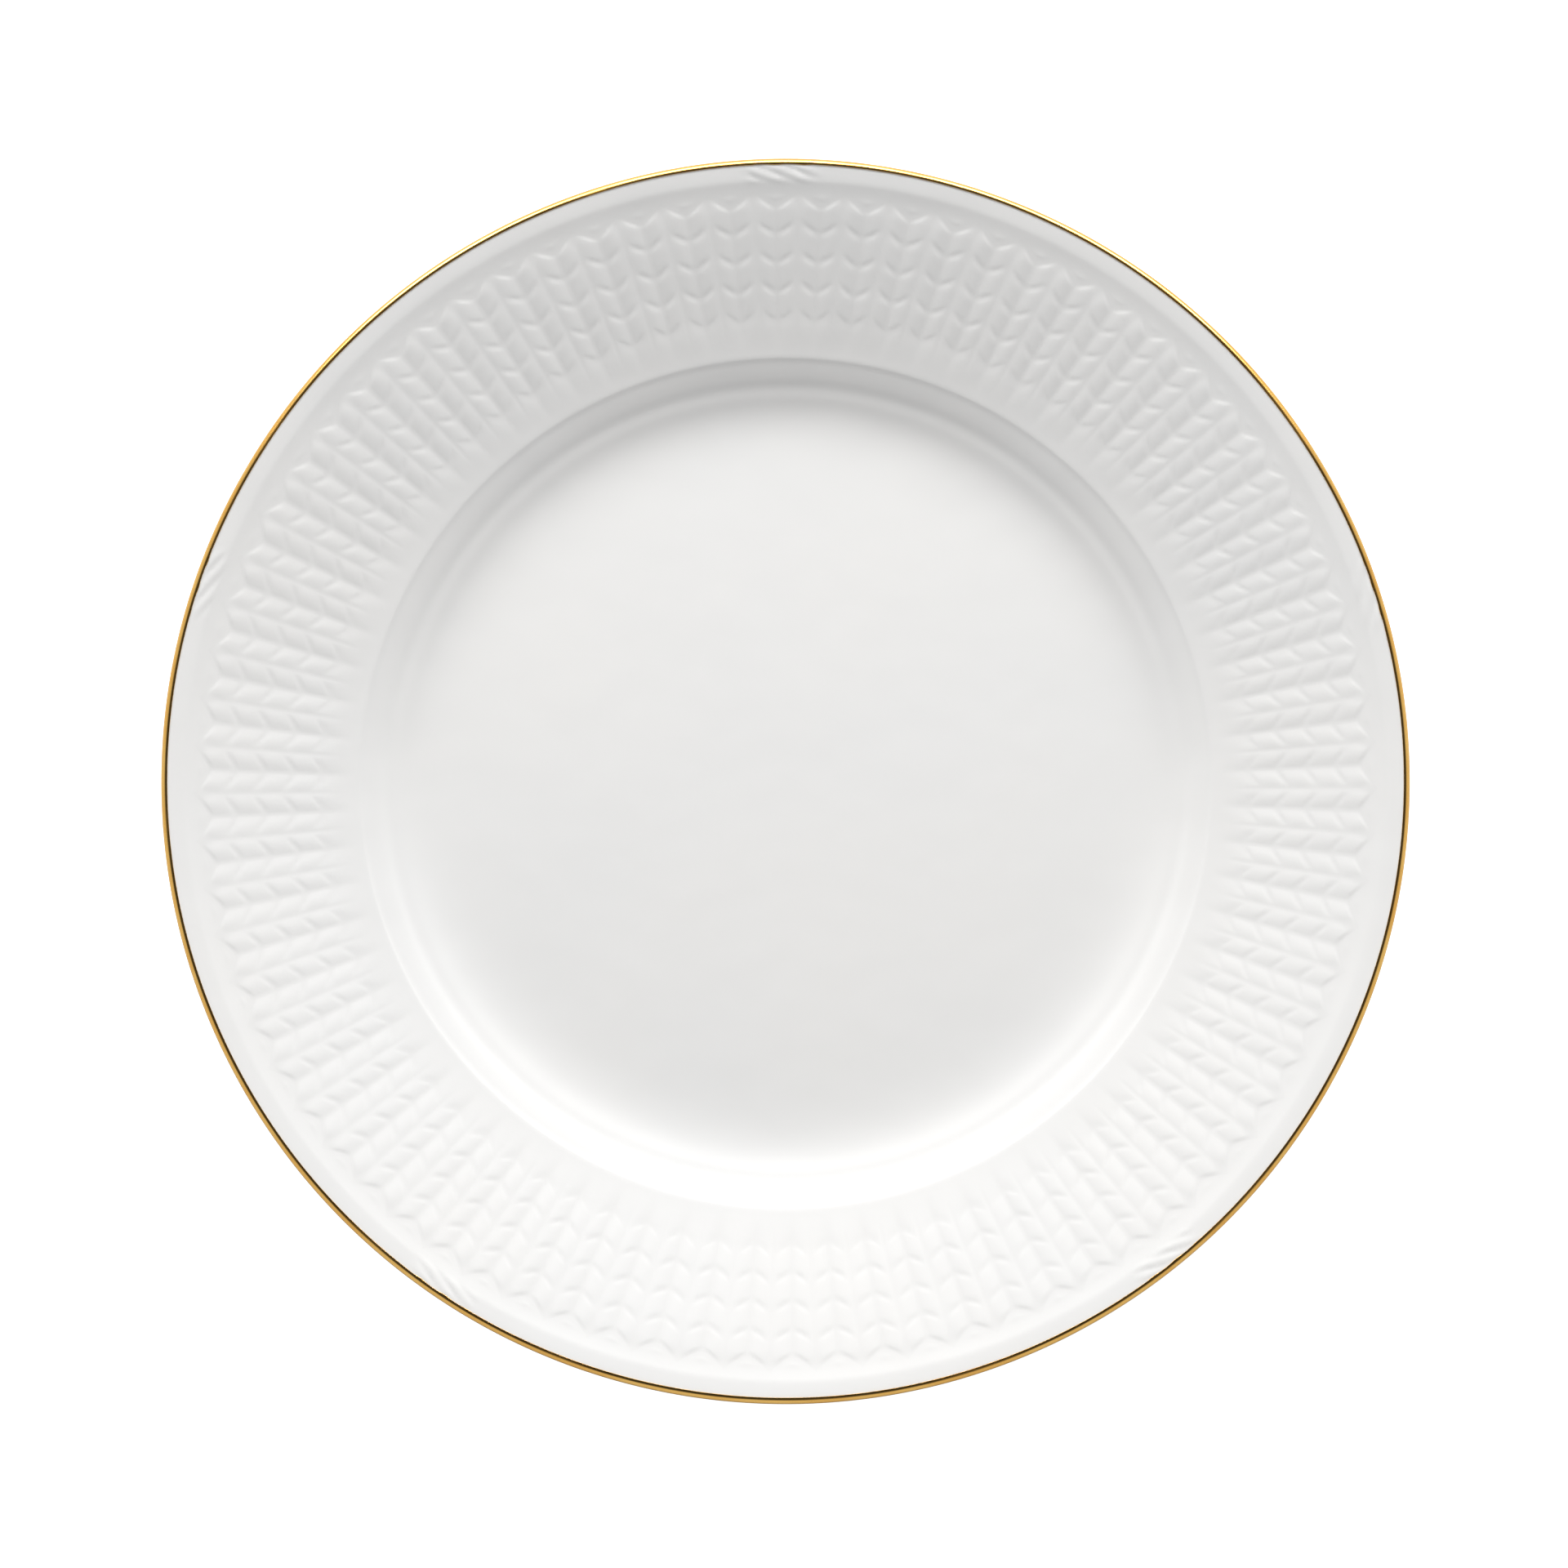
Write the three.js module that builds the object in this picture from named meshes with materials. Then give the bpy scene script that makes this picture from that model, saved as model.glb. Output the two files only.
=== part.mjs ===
// A china dinner plate: the fired porcelain body with a pressed grain relief on its rim, the glaze
// coats fused to it, and the gilt band round the lip.
// Millimetres, +Z up, origin at the centre of the circle that the foot ring stands on.
import * as THREE from "three";

// Layers. Each coat follows the body at a constant distance.
const layerGap = 0.02;
const glazeThickness = 0.26;
const giltThickness = 0.12;

// Lip: a half-round roll, measured to the outside of the gilding.
const plateRadius = 135;
const lipRollRadius = 1.3;
const lipHeight = 23.7;
const faceLipSteps = [2, 45, 90];
const backLipSteps = [-90, -45, -2];
const bodyLipSteps = [-90, -45, 0, 45, 90];
const giltBackSteps = [-45, 0, 45, 90];
const giltFaceSteps = [-45, -20, 5, 30, 60, 90];

// Rim: the sloping verge that carries the relief, with a plain moulding outside it.
const vergeInnerRadius = 92.8;
const vergeInnerHeight = 13.32;
const vergeSlope = 15.5;
const moulding = { r: 129.9, z: 23.8 };

// Relief: columns of paired grains, each pair a V that opens outwards, and paired stems below them.
const columns = 79;
const grainRows = 5;
const firstTipRadius = 128;
const rowPitch = 6.25;
const firstVeeDepth = 3.3;
const veeDepth = 2.6;
const crestInset = 2.75;
const crestLean = 0.6;
const grainHeight = 0.26;
const stemHeight = 0.17;

// The columns are not quite evenly spaced: they drift a little round the rim, in degrees.
const firstColumnAngle = 3.4;
const spacingDrift = [
  { size: 1.0, turns: 1, phase: 90 },
  { size: 0.47, turns: 2, phase: -55 },
];

// The body's own surface, as radius and height, from the centre outwards.
const wellProfile = [
  { r: 66, z: 7.92 },
  { r: 75, z: 8.13 },
  { r: 81.5, z: 9.1 },
  { r: 87.5, z: 11.2 },
  { r: 91.3, z: 12.7 },
];
const recessProfile = [
  { r: 75.8, z: 3.6 },
  { r: 77.6, z: 2.4 },
];
const footProfile = [
  { r: 79, z: 0 },
  { r: 81.8, z: 0 },
];
const backProfile = [
  { r: 82.55, z: 1.3 },
  { r: 84, z: 4.0 },
  { r: 89.8, z: 8.0 },
  { r: 97, z: 11.3 },
  { r: 131, z: 22.2 },
];
const wellFloor = { r: 0, z: wellProfile[0].z };
const recessRoof = { r: 0, z: recessProfile[0].z };

const lipCentreRadius = plateRadius - lipRollRadius;
const giltInside = lipRollRadius - giltThickness;
const glazeOutside = giltInside - layerGap;
const glazeInside = glazeOutside - glazeThickness;
const bodyLipRadius = glazeInside - layerGap;
const coatInside = layerGap;
const coatOutside = layerGap + glazeThickness;

const halfColumns = 2 * columns;
const radians = THREE.MathUtils.degToRad;

// Direction of each groove: even numbers lie between two columns, odd ones along a column's middle.
function grooveAngle(index) {
  const even = firstColumnAngle + (index * 360) / halfColumns;
  const drift = spacingDrift.reduce(
    (sum, term) => sum + term.size * Math.cos(radians(term.turns * even + term.phase)),
    0,
  );
  return radians(even + drift);
}

function vergeHeight(r) {
  return vergeInnerHeight + (r - vergeInnerRadius) * Math.tan(radians(vergeSlope));
}

function tipRadius(row) {
  return firstTipRadius - rowPitch * row;
}

function veeBottomRadius(row) {
  return tipRadius(row) - (row === 0 ? firstVeeDepth : veeDepth);
}

// A closed surface, built ring by ring. The rings run from the underside outwards and back over the top.
class Surface {
  points = [];
  faces = [];

  point(r, z, angle) {
    this.points.push(r * Math.cos(angle), r * Math.sin(angle), z);
    return this.points.length / 3 - 1;
  }

  // stride 1 puts a point on every groove, stride 2 on every second one.
  ring(stride, place) {
    const made = { stride, at: [] };
    for (let i = 0; i < halfColumns; i += stride) {
      const { r, z } = place(i);
      made.at[i] = this.point(r, z, grooveAngle(i));
    }
    return made;
  }

  pole({ z }) {
    return { stride: 0, only: this.point(0, z, 0) };
  }

  join(a, b) {
    if (a.stride === 0) {
      this.steps(b, (i, next) => this.faces.push(a.only, b.at[next], b.at[i]));
    } else if (b.stride === 0) {
      this.steps(a, (i, next) => this.faces.push(a.at[i], a.at[next], b.only));
    } else if (a.stride === b.stride) {
      this.steps(a, (i, next) => this.quad(a.at[i], a.at[next], b.at[next], b.at[i]));
    } else if (a.stride < b.stride) {
      this.steps(b, (i, next) => {
        const middle = a.at[i + 1];
        this.faces.push(a.at[i], middle, b.at[i]);
        this.faces.push(middle, b.at[next], b.at[i]);
        this.faces.push(middle, a.at[next], b.at[next]);
      });
    } else {
      this.steps(a, (i, next) => {
        const middle = b.at[i + 1];
        this.faces.push(a.at[i], middle, b.at[i]);
        this.faces.push(a.at[i], a.at[next], middle);
        this.faces.push(a.at[next], b.at[next], middle);
      });
    }
  }

  // One row of grains between two rings: each cell rises to a crest of its own.
  joinGrains(a, b, crest) {
    this.steps(a, (i, next) => {
      const corners = [a.at[i], a.at[next], b.at[next], b.at[i]];
      const top = crest(i);
      corners.forEach((corner, k) => this.faces.push(corner, corners[(k + 1) % 4], top));
    });
  }

  steps(ring, visit) {
    for (let i = 0; i < halfColumns; i += ring.stride) {
      visit(i, (i + ring.stride) % halfColumns);
    }
  }

  quad(a, b, c, d) {
    this.faces.push(a, b, c);
    this.faces.push(a, c, d);
  }

  mesh(name, colour, roughness, metalness) {
    const geometry = new THREE.BufferGeometry();
    geometry.setAttribute("position", new THREE.Float32BufferAttribute(this.points, 3));
    geometry.setIndex(this.faces);
    geometry.computeVertexNormals();
    const material = new THREE.MeshStandardMaterial({ color: colour, roughness, metalness });
    const made = new THREE.Mesh(geometry, material);
    made.name = name;
    return made;
  }
}

// Moves a profile off the body by a distance, to its left as it is walked.
function offsetProfile(profile, distance) {
  return profile.map((here, i) => {
    const before = profile[Math.max(i - 1, 0)];
    const after = profile[Math.min(i + 1, profile.length - 1)];
    const first = leftNormal(before, here) ?? leftNormal(here, after);
    const second = leftNormal(here, after) ?? first;
    const sum = { r: first.r + second.r, z: first.z + second.z };
    const scale = (2 * distance) / (sum.r * sum.r + sum.z * sum.z);
    return { r: here.r + sum.r * scale, z: here.z + sum.z * scale };
  });
}

function leftNormal(a, b) {
  const length = Math.hypot(b.r - a.r, b.z - a.z);
  if (length === 0) {
    return null;
  }
  return { r: (a.z - b.z) / length, z: (b.r - a.r) / length };
}

function lipPoint(radius, degrees) {
  return {
    r: lipCentreRadius + radius * Math.cos(radians(degrees)),
    z: lipHeight + radius * Math.sin(radians(degrees)),
  };
}

// The face from the lip's top to the centre, lifted off the body. Returns its rings in that order,
// each with the way it joins the one before it.
function faceRings(surface, lift) {
  const wellPoints = offsetProfile([wellFloor, ...wellProfile], lift);
  const rings = [{ ring: surface.ring(2, () => ({ r: moulding.r, z: moulding.z + lift })) }];
  for (let row = 0; row <= grainRows; row += 1) {
    const ring = surface.ring(1, (i) => {
      const edge = i % 2 === 1 ? veeBottomRadius(row) : tipRadius(row);
      const r = row < grainRows ? edge : vergeInnerRadius;
      return { r, z: vergeHeight(r) + lift };
    });
    rings.push({ ring, crest: row > 0 ? crestMaker(surface, row - 1, lift) : null });
  }
  for (const { r, z } of wellPoints.slice(1).reverse()) {
    rings.push({ ring: surface.ring(2, () => ({ r, z })) });
  }
  rings.push({ ring: surface.pole(wellPoints[0]) });
  return rings;
}

// Gives the crest of the grain between groove i and the next one. Grains lean away from the middle.
function crestMaker(surface, row, lift) {
  const height = row < grainRows - 1 ? grainHeight : stemHeight;
  return (i) => {
    const share = i % 2 === 1 ? crestLean : 1 - crestLean;
    const from = grooveAngle(i);
    const to = grooveAngle(i + 1);
    const r = tipRadius(row) - crestInset;
    return surface.point(r, vergeHeight(r) + height + lift, from + (to - from) * share);
  };
}

function joinAll(surface, rings) {
  rings.slice(1).forEach(({ ring, crest }, i) => {
    if (crest) {
      surface.joinGrains(rings[i].ring, ring, crest);
    } else {
      surface.join(rings[i].ring, ring);
    }
  });
}

function plainRings(surface, points) {
  return points.map(({ r, z }) => ({ ring: surface.ring(2, () => ({ r, z })) }));
}

function makeBody() {
  const surface = new Surface();
  const under = [...recessProfile, ...footProfile, ...backProfile];
  const lip = bodyLipSteps.map((degrees) => lipPoint(bodyLipRadius, degrees));
  joinAll(surface, [
    { ring: surface.pole(recessRoof) },
    ...plainRings(surface, [...under, ...lip]),
    ...faceRings(surface, 0),
  ]);
  return surface.mesh("porcelain_body", 0xf4f1ea, 0.85, 0);
}

// The coat on the face: its underside walked outwards, then its top walked back to the centre.
function makeFaceGlaze() {
  const surface = new Surface();
  const inside = faceLipSteps.map((degrees) => lipPoint(glazeInside, degrees));
  const outside = faceLipSteps.map((degrees) => lipPoint(glazeOutside, degrees));
  const underside = faceRings(surface, coatInside).reverse();
  const lip = plainRings(surface, [...inside.reverse(), ...outside]);
  const top = faceRings(surface, coatOutside);
  const crests = underside.map(({ crest }) => crest);
  underside.forEach((entry, i) => {
    entry.crest = i > 0 ? crests[i - 1] : null;
  });
  joinAll(surface, [...underside, ...lip, ...top]);
  return surface.mesh("face_glaze", 0xf7f7f5, 0.06, 0);
}

// A coat that starts and ends away from the axis is a closed loop of rings.
function joinLoop(surface, points) {
  const rings = plainRings(surface, points);
  joinAll(surface, [...rings, rings[0]]);
}

function makeBackGlaze() {
  const surface = new Surface();
  const visible = offsetProfile(backProfile, -coatOutside);
  const hidden = offsetProfile(backProfile, -coatInside);
  const lipVisible = backLipSteps.map((degrees) => lipPoint(glazeOutside, degrees));
  const lipHidden = backLipSteps.map((degrees) => lipPoint(glazeInside, degrees));
  joinLoop(surface, [...visible, ...lipVisible, ...lipHidden.reverse(), ...hidden.reverse()]);
  return surface.mesh("back_glaze", 0xf6f6f3, 0.08, 0);
}

function makeRecessGlaze() {
  const surface = new Surface();
  const visible = offsetProfile([recessRoof, ...recessProfile], -coatOutside);
  const hidden = offsetProfile([recessRoof, ...recessProfile], -coatInside).reverse();
  joinAll(surface, [
    { ring: surface.pole(visible[0]) },
    ...plainRings(surface, [...visible.slice(1), ...hidden.slice(0, -1)]),
    { ring: surface.pole(hidden[hidden.length - 1]) },
  ]);
  return surface.mesh("foot_recess_glaze", 0xf6f6f3, 0.08, 0);
}

function makeGilding() {
  const surface = new Surface();
  const visible = giltFaceSteps.map((degrees) => lipPoint(lipRollRadius, degrees));
  const hidden = giltBackSteps.map((degrees) => lipPoint(giltInside, degrees));
  joinLoop(surface, [...visible, ...hidden.reverse()]);
  return surface.mesh("gilt_rim_band", 0xd9a441, 0.18, 1);
}

const plate = new THREE.Group();
plate.name = "dinner_plate";
plate.add(makeBody(), makeFaceGlaze(), makeBackGlaze(), makeRecessGlaze(), makeGilding());

export default plate;
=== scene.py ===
import math

import bpy
import numpy as np
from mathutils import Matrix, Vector


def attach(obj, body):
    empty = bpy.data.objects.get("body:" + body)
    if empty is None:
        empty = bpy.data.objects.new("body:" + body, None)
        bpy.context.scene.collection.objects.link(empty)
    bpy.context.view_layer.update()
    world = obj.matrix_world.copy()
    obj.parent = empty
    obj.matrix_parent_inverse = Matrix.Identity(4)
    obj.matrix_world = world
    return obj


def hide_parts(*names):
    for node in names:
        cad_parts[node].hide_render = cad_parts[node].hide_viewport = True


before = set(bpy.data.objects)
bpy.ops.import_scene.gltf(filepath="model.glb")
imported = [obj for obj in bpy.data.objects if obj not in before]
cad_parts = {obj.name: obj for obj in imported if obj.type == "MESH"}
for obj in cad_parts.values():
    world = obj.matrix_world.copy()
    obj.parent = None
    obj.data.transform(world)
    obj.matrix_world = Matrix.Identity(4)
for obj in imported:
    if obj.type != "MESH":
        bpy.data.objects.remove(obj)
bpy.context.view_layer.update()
print("frame loaded:", len(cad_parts), "nodes")

mm = 0.001  # the shapes below are worked out in millimetres

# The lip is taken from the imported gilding: its widest circle and its highest point.
gilding = np.array([v.co for v in bpy.data.objects["gilt_rim_band"].data.vertices]) / mm
plateRadius = float(np.hypot(gilding[:, 0], gilding[:, 1]).max())
plateTop = float(gilding[:, 2].max())

lip = {
    "rollRadius": 1.3,  # over the gilding
    "giltThickness": 0.12,
    "glazeThickness": 0.26,
    "gap": 0.02,  # between two coats
}
rollCentre = plateRadius - lip["rollRadius"]
rollHeight = plateTop - lip["rollRadius"]
giltInside = lip["rollRadius"] - lip["giltThickness"]
glazeOutside = giltInside - lip["gap"]
glazeInside = glazeOutside - lip["glazeThickness"]
bodyRoll = glazeInside - lip["gap"]


def smooth(x):
    x = np.clip(x, 0.0, 1.0)
    return x * x * (3 - 2 * x)


def eased(x, start, length):
    # rises from 0 to 1 over a stretch
    return smooth((x - start) / length)


def mixed(a, b, share):
    return a + (b - a) * share


# the face's section

faceSection = {
    "floorHeight": 8.2,
    "vergeStart": 92.8,  # inner edge of the sloping rim
    "vergeHeight": 13.6,
    "vergeEnd": 126.0,
    "vergeSlope": 15.5,  # degrees
    # slope of the wall in degrees, from the floor to the rim; its size is fitted to the heights above
    "wallSlopes": [
        (64.0, 0.0), (68.0, 0.5), (71.3, 1.4), (74.9, 3.6), (78.4, 7.8), (80.5, 12.2), (81.9, 16.2),
        (83.5, 20.0), (84.4, 18.0), (85.2, 15.8), (86.2, 18.6), (87.1, 25.0), (87.8, 26.0), (88.5, 22.5),
        (90.0, 20.4), (91.3, 19.6), (91.9, 25.0), (92.3, 24.5), (92.8, 17.0),
    ],
    # the same for the relief's zone
    "vergeSlopes": [(92.8, 17.0), (93.4, 14.2), (100.0, 14.4), (103.0, 15.7), (126.0, 15.7)],
    # and for the plain moulding, from the rim to the top of the lip
    "mouldingSlopes": [
        (126.0, 15.7), (128.0, 18.0), (129.8, 19.6), (130.4, 13.2), (131.4, 12.4), (133.2, 10.8),
        (133.7, 6.0),
    ],
    "creaseDepth": 0.012,  # fine line just inside the rim
    "creaseRadius": 92.15,
    "creaseWidth": 0.3,
}


profileSteps = 600


def climb(slopes, startHeight, endHeight):
    # integrates a list of slopes, scaled so that it ends at the right height
    r = np.linspace(slopes[0][0], slopes[-1][0], profileSteps)
    angle = np.radians(np.interp(r, [s[0] for s in slopes], [s[1] for s in slopes]))
    rise = np.concatenate([[0], np.cumsum((np.tan(angle[1:]) + np.tan(angle[:-1])) / 2 * np.diff(r))])
    return r, startHeight + rise * (endHeight - startHeight) / rise[-1]


def makeFaceHeight(s):
    vergeTop = s["vergeHeight"] + (s["vergeEnd"] - s["vergeStart"]) * math.tan(math.radians(s["vergeSlope"]))
    wallR, wallZ = climb(s["wallSlopes"], s["floorHeight"], s["vergeHeight"])
    vergeR, vergeZ = climb(s["vergeSlopes"], s["vergeHeight"], vergeTop)
    mouldR, mouldZ = climb(s["mouldingSlopes"], vergeTop, rollHeight + glazeOutside)
    gridR = np.concatenate([[0.0], wallR, vergeR, mouldR])
    gridZ = np.concatenate([[s["floorHeight"]], wallZ, vergeZ, mouldZ])

    def height(r):
        crease = s["creaseDepth"] * np.exp(-(((r - s["creaseRadius"]) / s["creaseWidth"]) ** 2))
        return np.interp(r, gridR, gridZ) - crease

    return height


faceHeight = makeFaceHeight(faceSection)

# the relief on the rim: columns of paired grains

relief = {
    "columns": 79,
    "firstColumnAngle": 3.4,  # degrees
    "drift": [(1.0, 1, 90.0), (0.47, 2, -55.0)],  # uneven spacing in degrees: size, turns and phase
    "rows": 5,
    "firstTip": 128.0,
    "rowPitch": 6.25,
    "firstVeeDepth": 3.3,
    "veeDepth": 2.6,
    "veeRounding": 0.3,
    "grainHeight": 0.2,
    "stemHeight": 0.115,
    "crestAtTip": 0.62,  # where the crest runs: 0 is the middle of a column, 1 the groove between two
    "crestAtBase": 0.5,
    "crestTurn": 0.85,  # share of a grain's length over which the crest moves between the two
    "outerPower": 2.0,  # how the grain falls off on either side of its crest
    "innerPower": 1.25,
    "outerLow": 0.6,  # share of the height left in the grooves
    "innerLow": 0.0,
    "frontLength": (0.22, 0.95),  # share of a grain taken by its front, at the middle and at the groove
    "frontFrom": 0.5,  # place across the column where the front starts to lengthen
    "baseHeight": 0.82,  # height left before a grain's base
    "baseFall": (0.25, 0.55),  # start and length of the fall to that height
    "baseDrop": 0.56,  # how much of it the step at the base takes
    "baseStep": (0.78, 0.22),  # start and length of the step
    "baseWidth": (0.45, 0.4),  # it fades out towards the groove
    "stemShare": 0.75,  # how much of a grain's shape a stem has
    "stemFade": (0.2, 0.7),
    "budHeight": 0.045,
    "budPlace": 0.5,  # from the first row's edge to the moulding
    "budSize": (0.2, 0.16),  # across and along
}
# places across a column, from one groove to the next: 1 is a groove, 0 the middle
acrossColumn = np.array([1, 0.9, 0.76, 0.56, 0.34, 0.14, 0, 0.14, 0.34, 0.56, 0.76, 0.9])
alongGrain = [0, 0.06, 0.12, 0.18, 0.24, 0.38, 0.58, 0.77, 0.84, 0.9, 0.95]
alongGrainCoarse = [0, 0.13, 0.45, 0.8]


def columnAngles(r):
    # angle of every place across every column
    n = r["columns"]
    half = np.concatenate([(1 - acrossColumn[:7]), 1 + acrossColumn[7:]])  # half columns from a groove
    index = (2 * np.arange(n)[:, None] + half[None, :]).ravel()
    even = r["firstColumnAngle"] + index * 180.0 / n
    drift = sum(size * np.cos(np.radians(turns * even + phase)) for size, turns, phase in r["drift"])
    return np.radians(even + drift)


ringAngles = columnAngles(relief)
across = np.tile(acrossColumn, relief["columns"])


def edgeRadius(row, u):
    r = relief
    if row == r["rows"]:
        return np.full_like(u, faceSection["vergeStart"])
    tip = r["firstTip"] - r["rowPitch"] * row
    k = r["veeRounding"]
    vee = (np.sqrt(u * u + k * k) - k) / (math.sqrt(1 + k * k) - k)
    return tip - (r["veeDepth"] if row else r["firstVeeDepth"]) * (1 - vee)


def grainShape(u, t):
    r = relief
    crest = mixed(r["crestAtTip"], r["crestAtBase"], smooth(t / r["crestTurn"]))
    outer = u > crest
    away = np.where(outer, (u - crest) / (1 - crest), (crest - u) / crest)
    power = np.where(outer, r["outerPower"], r["innerPower"])
    low = np.where(outer, r["outerLow"], r["innerLow"])
    drop = r["baseDrop"] * eased(t, *r["baseStep"]) * (1 - eased(u, *r["baseWidth"]))
    return (1 - (1 - low) * away ** power) * (mixed(1, r["baseHeight"], eased(t, *r["baseFall"])) - drop)


def rowHeight(row):
    return relief["grainHeight"] if row < relief["rows"] - 1 else relief["stemHeight"]


def grainHeight(row, u, t):
    r = relief
    last = row == r["rows"] - 1
    full = rowHeight(row) * grainShape(u, t * r["stemShare"] if last else t)
    if last:
        full = full * (1 - eased(t, *r["stemFade"]))
    front = mixed(*r["frontLength"], eased(u, r["frontFrom"], 1 - r["frontFrom"]))
    before = rowHeight(row - 1) * grainShape(u, 1.0) if row else 0.0
    return mixed(before, full, smooth(t / front))


def fieldHeight(u, t):
    # between the first row and the moulding a small bud lies in each vee
    r = relief
    wide, long = r["budSize"]
    return r["budHeight"] * np.exp(-((u / wide) ** 2) - ((t - r["budPlace"]) / long) ** 2)


# slanting flutes at five places on the moulding

flutes = {
    "places": [90.3, 161.3, 236.0, 308.4, 17.6],  # degrees
    "halfWidth": 7.2,  # mm along the rim
    "pitch": 6.2,
    "slant": 2.3,  # mm along the rim for each mm inwards
    "depth": 0.24,
    "outer": 133.7,
    "inner": 129.4,
    "endBlend": 1.4,
    "innerBlend": 1.3,
    "outerBlend": 0.7,
    "outerMargin": 0.15,
    "roundness": 0.8,
    "midLevel": 0.55,  # so that the flutes rise and sink about the moulding's own surface
}


def flutePhase(angle, radius):
    # phase across the flutes and how strongly they show there
    f = flutes
    phase = np.zeros_like(angle)
    strength = np.zeros_like(angle)
    for place in f["places"]:
        away = (angle - math.radians(place) + math.pi) % (2 * math.pi) - math.pi
        s = away * radius
        here = smooth((f["halfWidth"] + f["endBlend"] - np.abs(s)) / (2 * f["endBlend"]))
        phase = np.where(here > 0, (s + (f["outer"] - radius) * f["slant"]) / f["pitch"], phase)
        strength = np.maximum(strength, here)
    return phase, strength


def fluteHeight(angle, radius):
    f = flutes
    phase, strength = flutePhase(angle, radius)
    inside = eased(radius, f["inner"], f["innerBlend"])
    outside = smooth((f["outer"] - f["outerMargin"] - radius) / f["outerBlend"])
    ridge = np.abs(np.sin(math.pi * phase)) ** f["roundness"] - f["midLevel"]
    return f["depth"] * ridge * strength * (inside * outside)


# closed shells built ring by ring


class Shell:
    # Rings run from the underside outwards and back over the top; each has radii, heights and angles.

    def __init__(self):
        self.points = []
        self.faces = []
        self.values = []
        self.count = 0
        self.last = None
        self.first = None

    def ring(self, radius, height, angles, value=0.0, join=True):
        n = len(angles)
        radius = np.broadcast_to(radius, n)
        height = np.broadcast_to(height, n)
        self.points.append(np.column_stack([radius * np.cos(angles), radius * np.sin(angles), height]))
        self.values.append(np.broadcast_to(value, n))
        made = (self.count, n)
        self.count += n
        if join and self.last:
            self.join(self.last, made)
        self.last = made
        self.first = self.first or made
        return made

    def pole(self, height):
        self.points.append(np.array([[0.0, 0.0, height]]))
        self.values.append(np.zeros(1))
        made = (self.count, 1)
        self.count += 1
        if self.last:
            self.join(self.last, made)
        self.last = made
        self.first = self.first or made
        return made

    def close(self):
        self.join(self.last, self.first)

    def join(self, a, b):
        (startA, n), (startB, m) = a, b
        if n == 1:
            self.faces += [(startA, startB + (i + 1) % m, startB + i) for i in range(m)]
        elif m == 1:
            self.faces += [(startA + i, startA + (i + 1) % n, startB) for i in range(n)]
        elif n == m:
            self.faces += [
                (startA + i, startA + (i + 1) % n, startB + (i + 1) % n, startB + i) for i in range(n)
            ]
        elif n > m:
            self.fan(startA, n, startB, m, False)
        else:
            self.fan(startB, m, startA, n, True)

    def fan(self, fine, n, coarse, m, turned):
        step = n // m
        half = step // 2
        for j in range(m):
            here, after = coarse + j, coarse + (j + 1) % m
            made = []
            for k in range(step):
                i, following = fine + step * j + k, fine + (step * j + k + 1) % n
                made.append((i, following, here if k < half else after))
                if k == half:
                    made.append((i, after, here))
            self.faces += [face[::-1] for face in made] if turned else made

    def evened(self, points):
        # starts each four-sided face at its shorter diagonal, so that it is halved along that one
        made = []
        for face in self.faces:
            if len(face) == 4:
                first = points[face[0]] - points[face[2]]
                second = points[face[1]] - points[face[3]]
                if second @ second < first @ first:
                    face = (*face[1:], face[0])
            made.append(face)
        return made

    def finish(self, name, material):
        mesh = bpy.data.meshes.new(name)
        points = np.concatenate(self.points) * mm
        mesh.from_pydata(points.tolist(), [], self.evened(points))
        mesh.polygons.foreach_set("use_smooth", np.ones(len(mesh.polygons), dtype=bool))
        values = np.concatenate(self.values)
        # share of painted shade at each point, kept as a point attribute
        if values.any():
            layer = mesh.attributes.new("paintedShade", "FLOAT", "POINT")
            layer.data.foreach_set("value", values.astype(np.float32))
        mesh.materials.append(material)
        mesh.update()
        mesh.validate()
        made = bpy.data.objects.new(name, mesh)
        bpy.context.scene.collection.objects.link(made)
        return made


def spline(points, steps):
    # rounded path through points, with a number of steps between each pair
    p = np.array([points[0], *points, points[-1]], dtype=float)
    path = []
    for i in range(1, len(p) - 2):
        t = np.linspace(0, 1, steps, endpoint=False)[:, None]
        a, b, c, d = p[i - 1 : i + 3]
        chord = np.linalg.norm(c - b)
        into = (c - a) / max(np.linalg.norm(c - b) + np.linalg.norm(b - a), 1e-9) * chord
        out = (d - b) / max(np.linalg.norm(d - c) + np.linalg.norm(c - b), 1e-9) * chord
        t2, t3 = t * t, t * t * t
        near = (2 * t3 - 3 * t2 + 1) * b + (t3 - 2 * t2 + t) * into
        path.append(near + (3 * t2 - 2 * t3) * c + (t3 - t2) * out)
    path.append(p[-2][None])
    return np.concatenate(path)


def offsetPath(path, distance):
    # moves a path off itself, to its right as it is walked outwards along the underside
    along = np.gradient(path, axis=0)
    along /= np.linalg.norm(along, axis=1)[:, None]
    return path + np.column_stack([along[:, 1], -along[:, 0]]) * distance


def rollPoint(radius, degrees):
    a = math.radians(degrees)
    return rollCentre + radius * math.cos(a), rollHeight + radius * math.sin(a)


coarseAngles = ringAngles[::2]
wallAngles = {True: ringAngles[::3], False: ringAngles[::6]}  # True for the fine surface
floorAngles = ringAngles[::6]
plainAngles = np.linspace(0, 2 * math.pi, 4 * relief["columns"], endpoint=False)

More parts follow.
